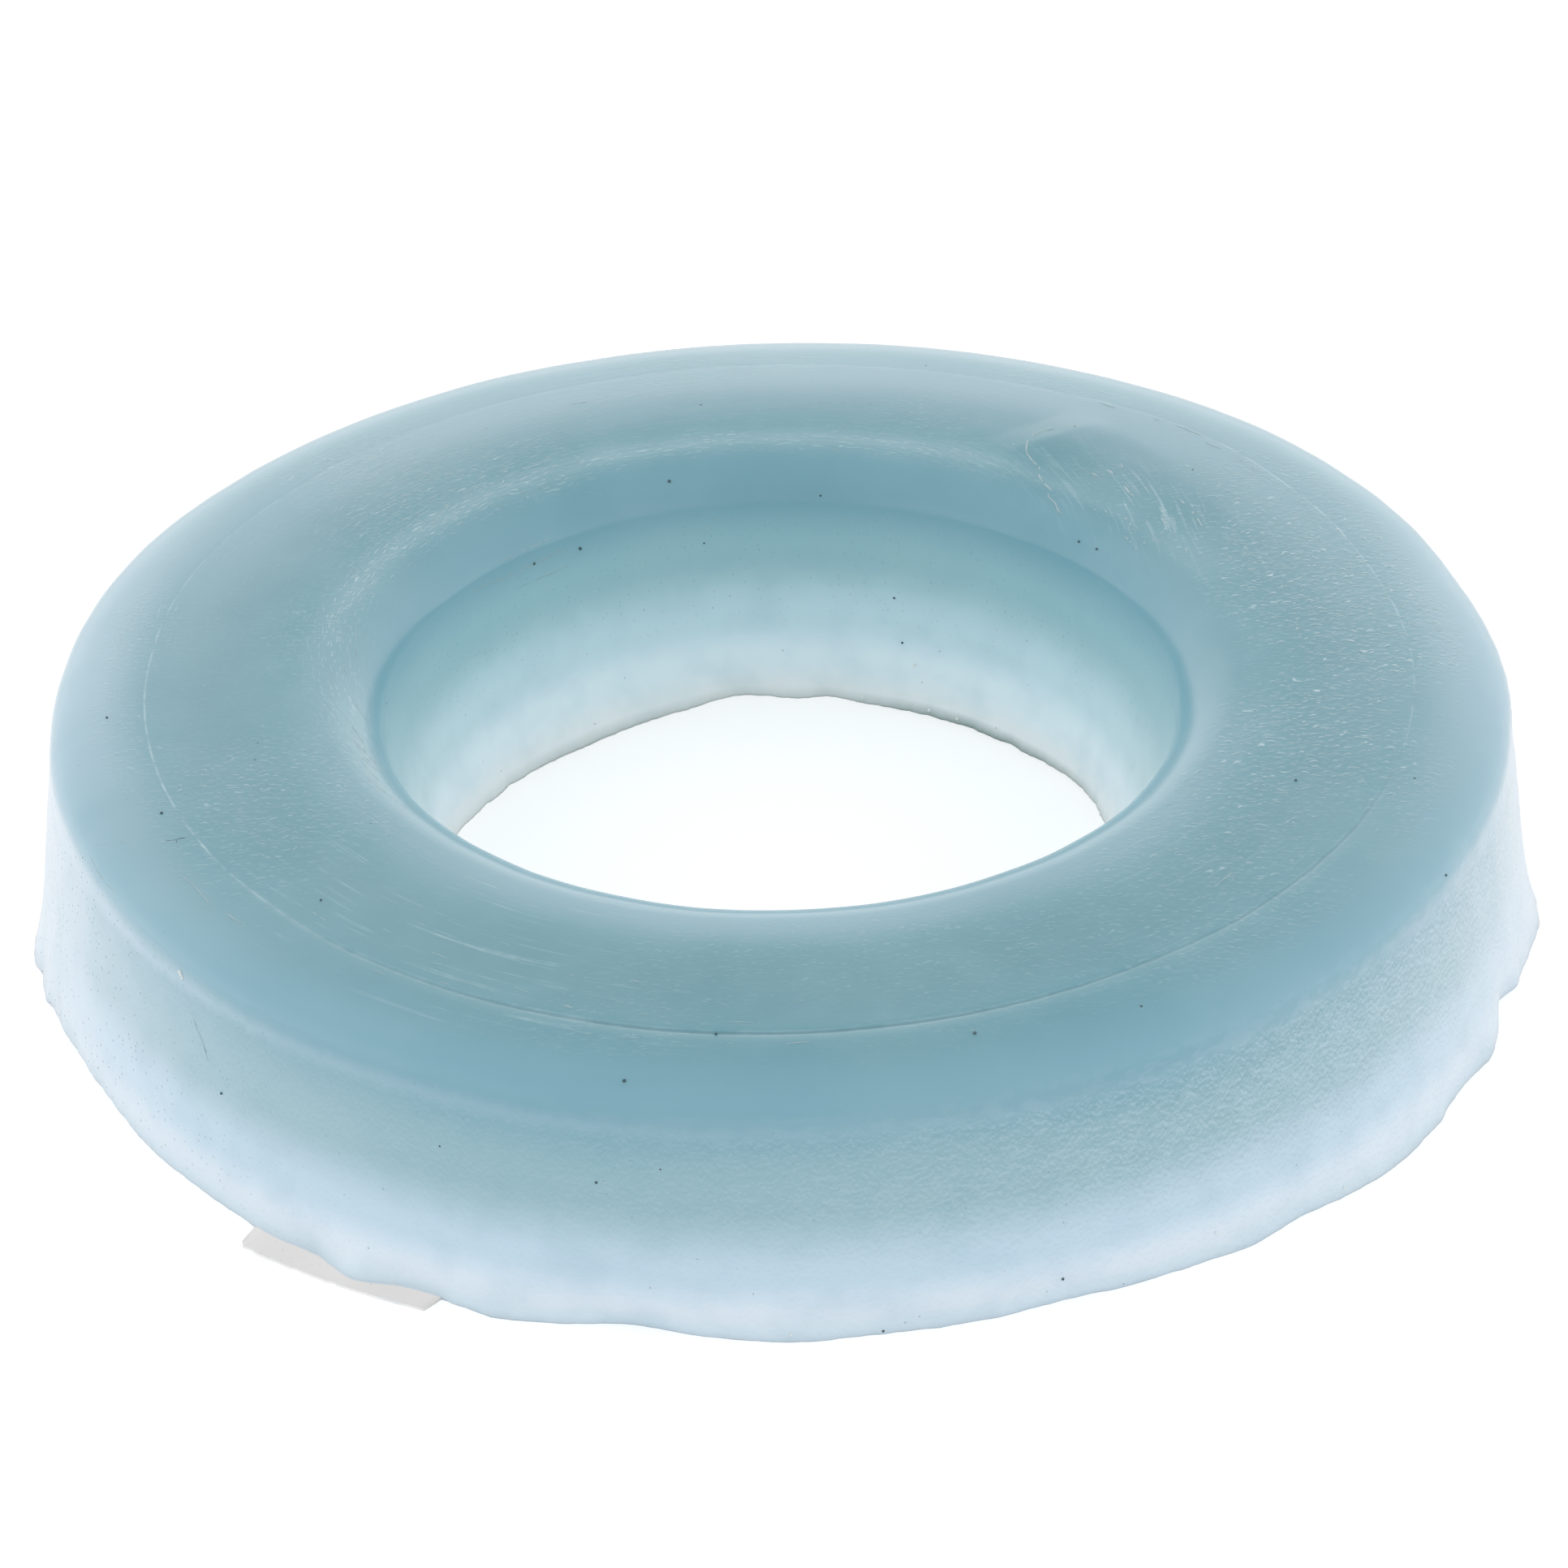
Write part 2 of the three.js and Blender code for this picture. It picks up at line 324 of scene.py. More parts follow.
for vertex in skin.verts:
    x, y, z = vertex.co
    radius = math.hypot(x, y)
    here = around(round(math.degrees(math.atan2(y, x)) % 360, 3))
    outer_side = radius > underside_middle
    near_foot = max(0.0, 1 - z / lip_height) ** 2
    top = smooth(bore_lip_height, bore_lip_height + 0.6 * inner_shoulder_drop, z)
    wall = 1 - smooth(wall_top - 0.5 * mm, wall_top + 2 * mm, z)

    # Painted sheen: the wax is painted paler at its two sides, along the back of its rim, and at the
    # front of its bore, where its gloss would catch the bright tent at a grazing angle
    at_rim = smooth(plateau_outer_radius - 1 * mm, plateau_outer_radius + 4 * mm, radius)
    painted_sheen = here["sheen_sides"] * (wall * outer_side + 0.27 * at_rim * (1 - wall))
    painted_sheen += here["sheen_back"] * smooth(42 * mm, 51 * mm, radius) * (1 - 0.5 * at_rim)
    painted_sheen += here["sheen_inner"] * (1 - smooth(38 * mm, 43 * mm, radius)) * top
    vertex[mask_layers["painted_sheen"]] = painted_sheen
    vertex[mask_layers["crease_highlit"]] = here["crease_highlit"] * outer_side

    # The foot's lips, with a finer ragged edge on them, fade out up the wall and stop under the foot
    on_underside = z == 0 and bore_foot_radius + 1 * mm < radius < foot_radius - 1 * mm
    push = 0.0
    if not on_underside:
        at_edge = math.exp(-z / (0.9 * mm))
        push = here["outer_lip" if outer_side else "bore_lip"] * near_foot
        push += (0.18 if outer_side else 0.2) * mm * here["ragged"] * at_edge
        if outer_side:
            push += here["rim"] * smooth(0, 8 * mm, z)
        if outer_side and here["flash"] > 0:
            low_down = 1 - smooth(flash_thickness, 1.4 * flash_thickness, z)
            spread_out = max(0.0, here["flash"] - push) * low_down
            vertex[mask_layers["flash"]] = spread_out / mm
            push += spread_out
        spot = Vector((x, y, z))
        lump = noise.noise(spot * 90) * 0.14 + noise.noise(spot * 260) * 0.05
        lump += noise.noise(spot * 620) * 0.05 * here["pebbled"] * outer_side
        push += lump * mm * smooth(0, 3 * mm, z)

    # The thumb marks, the witness line's wander, and the grain of the skin on the top
    sink = 0.0
    if top > 0:
        for mark in thumb_marks:
            share, aside = in_mark(Vector((x, y)), mark)
            if -0.4 < share < 1.2 and abs(aside) < 1:
                rise, wiped = mark_depth(share, aside, mark)
                sink += rise * top
        to_witness = radius - witness_radius
        if abs(to_witness) < witness_width / 2:
            sink -= witness_depth * here["witness_dip"] * math.cos(math.pi * to_witness / witness_width) ** 2
        push += here["witness_wander"] * math.exp(-((to_witness / (3 * mm)) ** 2))
        patches = 0.5 + 0.5 * noise.noise(Vector((x, y, z)) * 70)
        patchy = 0.15 + 1.1 * smooth(0.3, 0.7, patches)
        on_plateau = 1 - smooth(plateau_outer_radius + 2 * mm, plateau_outer_radius + 6 * mm, radius)
        on_plateau *= smooth(plateau_inner_radius - 2.5 * mm, plateau_inner_radius + 1 * mm, radius)
        swept_band = math.exp(-(((radius - 41.5 * mm) / (4.5 * mm)) ** 2))
        crease_band = math.exp(-(((radius - plateau_inner_radius - 0.3 * mm) / (1.4 * mm)) ** 2))
        fan_band = math.exp(-(((radius - 36.0 * mm) / (2.2 * mm)) ** 2))
        swept = here["swept"] * swept_band
        patchy = max(patchy, swept)
        vertex[mask_layers["swept"]] = swept * top
        vertex[mask_layers["dashed"]] = here["dashed"] * patchy * on_plateau * top
        vertex[mask_layers["streaked"]] = here["streaked"] * patchy * on_plateau * top
        vertex[mask_layers["scuffed"]] = top * (crease_band * here["crease"] + fan_band * here["fan"])
        vertex[mask_layers["scored"]] = here["scored"] * top * on_plateau
        vertex[mask_layers["witness_pale_and_lit"]] = here["witness_pale_and_lit"]
        vertex[mask_layers["witness_trough_shade"]] = here["witness_trough_shade"]
    vertex[mask_layers["grain"]] = vertex[girth_layer] + here["lean"]
    if outer_side:
        vertex[mask_layers["pebbled"]] = here["pebbled"] * wall * (0.25 + 0.75 * smooth(3 * mm, 12 * mm, z))
        vertex[mask_layers["speckled"]] = here["speckled"] * wall
    else:
        vertex[mask_layers["bore_foot_shade"]] = here["bore_foot_shade"]
        vertex[mask_layers["speckled"]] = 0.3 * (1 - top) * smooth(4 * mm, 12 * mm, z)

    grown = (radius + push) / radius
    vertex.co = (x * grown, y * grown, max(0.0, z + sink))

skin.normal_update()
wax_surface = BVHTree.FromBMesh(skin)
ring_mesh = bpy.data.meshes.new("wax_ring_skin")
skin.to_mesh(ring_mesh)
skin.free()
for face in ring_mesh.polygons:
    face.use_smooth = True
wax_ring = bpy.data.objects.new("wax_ring_skin", ring_mesh)
bpy.context.scene.collection.objects.link(wax_ring)


def put(tree, kind, settings=(), sockets=()):
    """Adds a node, with its settings, and the values or links of its input sockets."""
    made = tree.nodes.new(kind)
    for name, value in dict(settings).items():
        setattr(made, name, value)
    for name, value in dict(sockets).items():
        if isinstance(value, bpy.types.NodeSocket):
            tree.links.new(value, made.inputs[name])
        else:
            made.inputs[name].default_value = value
    return made


def sum_up(tree, operation, first, second):
    """A math node on two numbers or sockets."""
    return put(tree, "ShaderNodeMath", {"operation": operation}, {0: first, 1: second}).outputs[0]


def crest(tree, value, low, high):
    """The part of a value above low, as 0 to 1."""
    sockets = {"Value": value, "From Min": low, "From Max": high}
    return put(tree, "ShaderNodeMapRange", {"clamp": True}, sockets).outputs["Result"]


def blend(tree, share, first, second):
    """A mix of two colours."""
    made = put(tree, "ShaderNodeMix", {"data_type": "RGBA"})
    for name, value in ((0, share), (6, first), (7, second)):
        if isinstance(value, bpy.types.NodeSocket):
            tree.links.new(value, made.inputs[name])
        else:
            made.inputs[name].default_value = value
    return made.outputs[2]


def tint(red, green, blue):
    """A colour written as it shows on a screen, 0 to 255, as the linear colour that a shader takes."""
    def linear(value):
        share = value / 255
        return share / 12.92 if share <= 0.04045 else ((share + 0.055) / 1.055) ** 2.4
    return (linear(red), linear(green), linear(blue), 1.0)


def new_group(name, takes, gives):
    """An empty node group with number sockets, or vector sockets where the name ends in place."""
    group = bpy.data.node_groups.new(name, "ShaderNodeTree")
    for socket in takes:
        kind = "NodeSocketVector" if socket.endswith("place") else "NodeSocketFloat"
        group.interface.new_socket(name=socket, in_out="INPUT", socket_type=kind)
    for socket in gives:
        group.interface.new_socket(name=socket, in_out="OUTPUT", socket_type="NodeSocketFloat")
    return group, group.nodes.new("NodeGroupInput"), group.nodes.new("NodeGroupOutput")


# Specks are small round spots scattered in the wax: dust that stuck to it, and grains under its skin
speck_group, speck_in, speck_out = new_group("wax specks", ("place", "crowding", "size", "share"), ("spot",))
speck_cells = put(
    speck_group, "ShaderNodeTexVoronoi", {"feature": "F1"},
    {"Vector": speck_in.outputs["place"], "Scale": speck_in.outputs["crowding"]},
)
speck_edge = sum_up(speck_group, "MULTIPLY", speck_in.outputs["size"], speck_in.outputs["crowding"])
speck_near = sum_up(speck_group, "LESS_THAN", speck_cells.outputs["Distance"], speck_edge)
speck_pick = put(speck_group, "ShaderNodeSeparateColor", (), {0: speck_cells.outputs["Color"]})
speck_few = sum_up(speck_group, "LESS_THAN", speck_pick.outputs[0], speck_in.outputs["share"])
speck_group.links.new(sum_up(speck_group, "MULTIPLY", speck_near, speck_few), speck_out.inputs["spot"])

# Strokes are long fine crests that follow one direction: fine along it and coarse across it
stroke_group, stroke_in, stroke_out = new_group("wax strokes", ("place", "low", "high"), ("crests", "relief"))
stroke_noise = put(
    stroke_group, "ShaderNodeTexNoise", {"noise_dimensions": "3D"},
    {"Vector": stroke_in.outputs["place"], "Scale": 1.0, "Detail": 2.0, "Roughness": 0.5},
)
stroke_crest = put(
    stroke_group, "ShaderNodeMapRange", {"clamp": True},
    {
        "Value": stroke_noise.outputs[0],
        "From Min": stroke_in.outputs["low"],
        "From Max": stroke_in.outputs["high"],
    },
)
stroke_group.links.new(stroke_crest.outputs["Result"], stroke_out.inputs["crests"])
stroke_group.links.new(stroke_noise.outputs[0], stroke_out.inputs["relief"])

# Ticks are short separate wrinkles of the skin: small arcs, each with a painted highlight on its crest
# and painted shade on its side
tick_group, tick_in, tick_out = new_group("wax ticks", ("place", "bow"), ("crests", "shades"))
tick_wobble = put(
    tick_group, "ShaderNodeTexNoise", (), {"Vector": tick_in.outputs["place"], "Scale": 0.4, "Detail": 1.0}
).outputs[1]
tick_aside = put(
    tick_group, "ShaderNodeVectorMath", {"operation": "SCALE"}, {0: tick_wobble, "Scale": 2.4}
).outputs[0]
tick_bent = put(
    tick_group, "ShaderNodeVectorMath", {"operation": "ADD"}, {0: tick_in.outputs["place"], 1: tick_aside}
).outputs[0]
tick_cells = put(
    tick_group, "ShaderNodeTexVoronoi", {"voronoi_dimensions": "2D", "feature": "F1"},
    {"Vector": tick_bent, "Scale": 1.0},
)
tick_centre = tick_cells.outputs["Position"]
tick_offset = put(
    tick_group, "ShaderNodeVectorMath", {"operation": "SUBTRACT"}, {0: tick_bent, 1: tick_centre}
).outputs[0]
tick_axes = put(tick_group, "ShaderNodeSeparateXYZ", (), {0: tick_offset}).outputs
tick_square = sum_up(tick_group, "MULTIPLY", tick_axes["X"], tick_axes["X"])
tick_bow = sum_up(tick_group, "MULTIPLY", tick_square, tick_in.outputs["bow"])
tick_level = sum_up(tick_group, "ADD", tick_axes["Y"], tick_bow)
tick_chance = put(tick_group, "ShaderNodeSeparateColor", (), {0: tick_cells.outputs["Color"]}).outputs[0]
tick_along = crest(tick_group, sum_up(tick_group, "ABSOLUTE", tick_axes["X"], 0.0), 0.42, 0.18)
tick_full = sum_up(tick_group, "MULTIPLY", tick_along, crest(tick_group, tick_chance, 0.15, 0.85))
for socket, shift, half in (("crests", 0.0, 0.15), ("shades", 0.24, 0.17)):
    tick_near = sum_up(tick_group, "ABSOLUTE", sum_up(tick_group, "ADD", tick_level, shift), 0.0)
    tick_line = sum_up(tick_group, "MULTIPLY", crest(tick_group, tick_near, half, 0.03), tick_full)
    tick_group.links.new(tick_line, tick_out.inputs[socket])

# Pores are small bumps of the wall's skin, each with a painted highlight on its upper side and painted
# shade on its lower one
pore_group, pore_in, pore_out = new_group("wax pores", ("place",), ("lit", "shaded", "relief"))
pore_above = put(
    pore_group, "ShaderNodeVectorMath", {"operation": "ADD"}, {0: pore_in.outputs["place"], 1: (0, 0, 0.4)}
).outputs[0]
pore_heights = [
    put(pore_group, "ShaderNodeTexNoise", (), {"Vector": spot, "Scale": 1.0, "Detail": 2.0}).outputs[0]
    for spot in (pore_in.outputs["place"], pore_above)
]
pore_slope = sum_up(pore_group, "SUBTRACT", pore_heights[0], pore_heights[1])
pore_group.links.new(crest(pore_group, pore_slope, 0.02, 0.14), pore_out.inputs["lit"])
pore_group.links.new(crest(pore_group, pore_slope, -0.02, -0.14), pore_out.inputs["shaded"])
pore_group.links.new(pore_heights[0], pore_out.inputs["relief"])

# The wax itself: a teal blue where it is thick and bluer at the shoulders. Its lower walls and its
# foot, inside and out, grow paler to nearly white: partly the thin wax's own tone, partly painted light
# for the white floor's glow through it, and at the bore's foot painted light against its shade
deep_tint = tint(94, 148, 161)
edge_tint = tint(101, 155, 169)
shoulder_tint = tint(119, 169, 186)
wall_tint = tint(150, 189, 200)
low_tint = tint(198, 223, 239)
pale_tint = tint(226, 240, 254)
foot_tint = tint(215, 239, 255)
inner_tint = tint(107, 160, 176)
bore_tint = tint(148, 192, 201)
bore_low_tint = tint(197, 227, 235)
bore_foot_tint = tint(228, 246, 255)
# A pale bloom of the wax, also used for painted highlights on crests
bloom_and_highlight_tint = tint(190, 214, 221)
# Painted shade, for the shaded sides of ticks, scratches and pores and the witness line's trough
shade_tint = tint(92, 138, 152)
flash_tint = tint(254, 255, 255)
flake_tint = tint(238, 244, 247)
# Painted shade for the thin greenish-grey line at the bore's foot
bore_foot_shade_tint = tint(104, 138, 136)
dust_tint = tint(52, 78, 86)
grain_tint = tint(120, 154, 166)

wax = bpy.data.materials.new("petroleum wax")
wax.use_nodes = True
tree = wax.node_tree
shader = tree.nodes["Principled BSDF"]
place = put(tree, "ShaderNodeTexCoord").outputs["Object"]


def mask(name):
    """One of the ring's masks."""
    return put(tree, "ShaderNodeAttribute", {"attribute_name": name}).outputs["Fac"]


def times(first, second):
    """The product of two numbers or sockets in the wax's material."""
    return sum_up(tree, "MULTIPLY", first, second)


# The ramp's pale stops low on the walls and at both feet are partly painted light from below
girth_share = sum_up(tree, "DIVIDE", mask("girth"), girth_length)
ramp = put(tree, "ShaderNodeValToRGB", (), {0: girth_share})
stops = [
    (0.0, foot_tint), (0.03, pale_tint), (0.08, low_tint), (0.17, wall_tint), (0.29, shoulder_tint),
    (0.38, edge_tint), (0.50, deep_tint), (0.62, edge_tint), (0.70, inner_tint), (0.79, bore_tint),
    (0.88, bore_low_tint), (0.94, bore_foot_tint), (1.0, tint(244, 254, 255)),
]
while len(ramp.color_ramp.elements) < len(stops):
    ramp.color_ramp.elements.new(0.5)
for element, (position, colour) in zip(ramp.color_ramp.elements, stops):
    element.position = position
    element.color = colour
ramp.color_ramp.interpolation = "EASE"

# Coordinates that run round the ring and along its grain, so that marks can follow the circle
flat = put(tree, "ShaderNodeVectorMath", {"operation": "MULTIPLY"}, {0: place, 1: (1, 1, 0)}).outputs[0]
unit = put(tree, "ShaderNodeVectorMath", {"operation": "NORMALIZE"}, {0: flat}).outputs[0]


def round_place(turns, finely):
    """A vector that changes slowly round the ring and quickly across its grain."""
    level = put(tree, "ShaderNodeCombineXYZ", (), {"Z": times(mask("grain"), finely)}).outputs[0]
    circle = put(tree, "ShaderNodeVectorMath", {"operation": "SCALE"}, {0: unit, "Scale": turns}).outputs[0]
    return put(tree, "ShaderNodeVectorMath", {"operation": "ADD"}, {0: circle, 1: level}).outputs[0]


def scaled_place(scale):
    """The object's own coordinates, scaled along each axis."""
    return put(tree, "ShaderNodeVectorMath", {"operation": "MULTIPLY"}, {0: place, 1: scale}).outputs[0]


def strokes(vector, low, high):
    """The stroke group, placed once with its own values."""
    sockets = {"place": vector, "low": low, "high": high}
    made = put(tree, "ShaderNodeGroup", {"node_tree": stroke_group}, sockets)
    return made.outputs["crests"], made.outputs["relief"]


def specks(crowding, size, share):
    """The speck group, placed once with its own values."""
    sockets = {"place": place, "crowding": crowding, "size": size, "share": share}
    return put(tree, "ShaderNodeGroup", {"node_tree": speck_group}, sockets).outputs["spot"]


def ticks(vector, bow):
    """The tick group, placed once with its own values."""
    made = put(tree, "ShaderNodeGroup", {"node_tree": tick_group}, {"place": vector, "bow": bow})
    return made.outputs["crests"], made.outputs["shades"]


# Wrinkles lie level across the top, and scratches follow the ring round, with their seam at the front
axes = put(tree, "ShaderNodeSeparateXYZ", (), {0: place}).outputs
turned = sum_up(tree, "ARCTAN2", axes["X"], axes["Y"])
round_sockets = {"X": times(turned, 34), "Y": times(mask("grain"), 2200)}
round_level = put(tree, "ShaderNodeCombineXYZ", (), round_sockets).outputs[0]
tick_crest, tick_shade = ticks(scaled_place((1250, 1650, 0)), 1.0)
line_crest, line_shade = ticks(round_level, 0.25)
pore_sockets = {"place": scaled_place((2700, 2700, 2500))}
pores = put(tree, "ShaderNodeGroup", {"node_tree": pore_group}, pore_sockets).outputs
top_sockets = {"X": times(axes["X"], 1500), "Z": times(axes["Y"], 2100)}
top_place = put(tree, "ShaderNodeCombineXYZ", (), top_sockets).outputs[0]
top_pores = put(tree, "ShaderNodeGroup", {"node_tree": pore_group}, {"place": top_place}).outputs
streak_relief = strokes(round_place(11, 2600), 0.54, 0.70)[1]
swept_crest = strokes(round_place(8, 2300), 0.55, 0.68)[0]
arc_crest = strokes(round_place(4.0, 3600), 0.60, 0.72)[0]
peel_crest, peel_relief = strokes(scaled_place((620, 620, 1150)), 0.47, 0.60)

# The witness line: pale and thin, partly as a painted highlight, with painted shade in its trough and
# painted highlights on its lips where the light comes from behind
witness_at = girth_of_witness / mm
to_witness = sum_up(tree, "ABSOLUTE", sum_up(tree, "SUBTRACT", times(mask("girth"), 1 / mm), witness_at), 0.0)
broken = crest(tree, strokes(round_place(26, 300), 0.0, 1.0)[1], 0.36, 0.62)
thin_line = times(crest(tree, to_witness, 0.13, 0.03), sum_up(tree, "SUBTRACT", 0.7, mask("witness_trough_shade")))
twin_lines = times(times(crest(tree, to_witness, 0.40, 0.26), 0.6), mask("witness_trough_shade"))
witness_pale_and_lit = times(times(sum_up(tree, "MAXIMUM", thin_line, twin_lines), mask("witness_pale_and_lit")), broken)
witness_trough_shade = times(crest(tree, to_witness, 0.22, 0.08), mask("witness_trough_shade"))

# The crease at the top of the wall: a ragged painted highlight along the edge between the wall's pores
# and the smooth shoulder
edge_wander = times(sum_up(tree, "SUBTRACT", strokes(round_place(70, 350), 0.0, 1.0)[1], 0.5), 0.9)
wandering = sum_up(tree, "ADD", times(mask("girth"), 1 / mm), edge_wander)
from_crease = sum_up(tree, "SUBTRACT", wandering, girth_of_crease / mm)
on_wall_side = crest(tree, from_crease, 0.6, -0.6)
crease_line = times(crest(tree, sum_up(tree, "ABSOLUTE", from_crease, 0.0), 1.0, 0.1), mask("crease_highlit"))

# The pale crests of the wrinkles, scratches, arcs, sweeps, scuffs and witness line: partly whitened wax,
# partly painted highlights where crests catch the light
row_share = sum_up(tree, "SUBTRACT", times(swept_crest, 1.3), 0.7)
in_rows = sum_up(tree, "ADD", 1.0, times(mask("swept"), row_share))
wrinkled = times(mask("dashed"), in_rows)
wrinkle_highlights = times(tick_crest, wrinkled)
scratch_highlights = times(times(line_crest, mask("streaked")), 0.7)
arcs = times(times(arc_crest, mask("scored")), times(broken, 0.4))
sweeps = times(times(swept_crest, mask("swept")), 0.4)
scuffs = times(mask("scuffed"), sum_up(tree, "ADD", 0.2, times(line_crest, 0.55)))
bloom_and_highlight = sum_up(tree, "ADD", sum_up(tree, "ADD", wrinkle_highlights, arcs), sum_up(tree, "ADD", sweeps, scuffs))
bloom_and_highlight = sum_up(tree, "ADD", bloom_and_highlight, sum_up(tree, "ADD", scratch_highlights, witness_pale_and_lit))
clamped = {"operation": "MULTIPLY", "use_clamp": True}
bloom_and_highlight_share = put(tree, "ShaderNodeMath", clamped, {0: bloom_and_highlight, 1: 0.9}).outputs[0]

cloud = put(tree, "ShaderNodeTexNoise", (), {"Vector": place, "Scale": 60.0, "Detail": 3.0}).outputs[0]
# Painted sheen at the two sides, along the back of the rim and at the front of the bore
painted_sheen = blend(tree, mask("painted_sheen"), ramp.outputs[0], pale_tint)
clouded = blend(tree, times(crest(tree, cloud, 0.35, 0.75), 0.10), painted_sheen, bloom_and_highlight_tint)
mottle = put(tree, "ShaderNodeTexNoise", (), {"Vector": place, "Scale": 240.0, "Detail": 2.0}).outputs[0]
mottled = blend(tree, times(crest(tree, mottle, 0.45, 0.7), 0.12), clouded, shoulder_tint)
# Painted highlights on the crests of the wall's orange-peel relief
peel_highlit = blend(tree, times(times(peel_crest, mask("pebbled")), 0.07), mottled, pale_tint)
# Painted highlights and painted shade on the pores of the wall and of the top
pored = sum_up(tree, "ADD", 0.1, mask("pebbled"))
pored = times(pored, on_wall_side)
top_lit = times(times(top_pores["lit"], wrinkled), 0.09)
lit_share = sum_up(tree, "ADD", times(times(pores["lit"], pored), 0.15), top_lit)
lit = blend(tree, lit_share, peel_highlit, pale_tint)
pore_shade = sum_up(
    tree, "ADD", times(times(pores["shaded"], pored), 0.15), times(times(top_pores["shaded"], wrinkled), 0.1)
)
shaded = blend(tree, pore_shade, lit, shade_tint)
crease_highlit = blend(tree, times(crease_line, 0.16), shaded, pale_tint)
bloomed_and_highlit = blend(tree, bloom_and_highlight_share, crease_highlit, bloom_and_highlight_tint)
# Painted shade on the shaded sides of the ticks and scratches and in the witness line's trough
tick_share = times(times(tick_shade, wrinkled), 0.45)
shade_share = sum_up(tree, "ADD", tick_share, times(times(line_shade, mask("streaked")), 0.3))
painted_shaded = blend(tree, sum_up(tree, "ADD", times(witness_trough_shade, 0.5), shade_share), bloomed_and_highlit, shade_tint)
# Painted shade: a thin greenish-grey line along the bore's foot, where it meets the floor
from_bore_foot = sum_up(tree, "SUBTRACT", girth_length / mm, times(mask("girth"), 1 / mm))
bore_foot_shade_share = times(times(crest(tree, from_bore_foot, 1.1, 0.1), mask("bore_foot_shade")), 0.75)
bore_foot_shade = blend(tree, bore_foot_shade_share, painted_shaded, bore_foot_shade_tint)
flashed = blend(tree, crest(tree, mask("flash"), 0.0, flash_edge), bore_foot_shade, flash_tint)
grained = blend(tree, times(specks(1700.0, 0.10 * mm, 0.6), mask("speckled")), flashed, grain_tint)
faintly = blend(tree, times(specks(640.0, 0.09 * mm, 0.5), 0.5), grained, grain_tint)
dusted = blend(tree, specks(300.0, 0.12 * mm, 0.25), faintly, dust_tint)
tree.links.new(dusted, shader.inputs["Base Color"])

roughness = sum_up(tree, "ADD", 0.46, times(bloom_and_highlight_share, 0.25))
tree.links.new(roughness, shader.inputs["Roughness"])

# The relief of the skin, in millimetres
relief_parts = [
    (tick_crest, wrinkled, 0.07),
    (line_crest, mask("streaked"), 0.06),
    (streak_relief, mask("streaked"), 0.08),
    (streak_relief, mask("scuffed"), 0.12),
    (peel_relief, mask("pebbled"), 0.14),
    (pores["relief"], pored, 0.08),
    (witness_trough_shade, -1.0, 0.06),
]
relief = 0.0
for height, where, amount in relief_parts:
    relief = sum_up(tree, "ADD", relief, times(times(height, where), amount))
bump = put(tree, "ShaderNodeBump", (), {"Strength": 1.0, "Distance": mm, "Height": relief})
tree.links.new(bump.outputs["Normal"], shader.inputs["Normal"])


def make_waxy(waxy_shader):
    """The constants that every wax surface shares: soft gloss, light under the skin, and a pale edge."""
    waxy_shader.inputs["IOR"].default_value = 1.44
    waxy_shader.inputs["Subsurface Weight"].default_value = 0.3
    waxy_shader.inputs["Subsurface Radius"].default_value = (0.8, 1.0, 1.1)
    waxy_shader.inputs["Subsurface Scale"].default_value = 3.0 * mm
    waxy_shader.inputs["Coat Weight"].default_value = 1.0
    waxy_shader.inputs["Coat Roughness"].default_value = 0.20
    waxy_shader.inputs["Coat IOR"].default_value = 1.45


make_waxy(shader)
ring_mesh.materials.append(wax)

# The flash is too thin for light to go far under its skin, so it is white and dull, with faint streaks
# along it
flake = bpy.data.materials.new("thin wax")
flake.use_nodes = True
flake_tree = flake.node_tree
flake_shader = flake_tree.nodes["Principled BSDF"]
flake_place = put(flake_tree, "ShaderNodeTexCoord").outputs["Object"]
along_flake = put(
    flake_tree, "ShaderNodeVectorRotate", {"rotation_type": "Z_AXIS"},
    {"Vector": flake_place, "Angle": -math.radians((flash_from + flash_to) / 2 + 90)},
).outputs[0]
flake_grain = put(
    flake_tree, "ShaderNodeVectorMath", {"operation": "MULTIPLY"}, {0: along_flake, 1: (220, 2600, 0)}
).outputs[0]
flake_sockets = {"place": flake_grain, "low": 0.5, "high": 0.72}
flake_strokes = put(flake_tree, "ShaderNodeGroup", {"node_tree": stroke_group}, flake_sockets).outputs
flake_colour = blend(flake_tree, flake_strokes["crests"], flash_tint, flake_tint)
flake_tree.links.new(flake_colour, flake_shader.inputs["Base Color"])
flake_relief = {"Strength": 0.5, "Distance": 0.05 * mm, "Height": flake_strokes["relief"]}
flake_bump = put(flake_tree, "ShaderNodeBump", (), flake_relief)
flake_tree.links.new(flake_bump.outputs["Normal"], flake_shader.inputs["Normal"])
flake_shader.inputs["Roughness"].default_value = 0.6
flake_shader.inputs["IOR"].default_value = 1.44
ring_mesh.materials.append(flake)
flash_values = ring_mesh.attributes["flash"].data
for face in ring_mesh.polygons:
    if min(flash_values[corner].value for corner in face.vertices) > flash_edge:
        face.material_index = 1
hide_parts("wax_ring")
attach(wax_ring, "root")

# The burrs
# Thin threads of the same wax that a finger or the mould's rim dragged up and left standing on the
# skin: the curl and the strokes of the big smear, the arcs by the witness line, the scuffed inner edge.
burr_thickness = 0.075 * mm
burr_step = 0.4 * mm
burr_tint = tint(168, 198, 207)


def on_top(angle, radius):
    """The skin's surface and its slope below a place in plan."""
    over = at_angle(angle, radius).to_3d() + Vector((0, 0, 2 * ring_height))
    return wax_surface.ray_cast(over, Vector((0, 0, -1)))[:2]


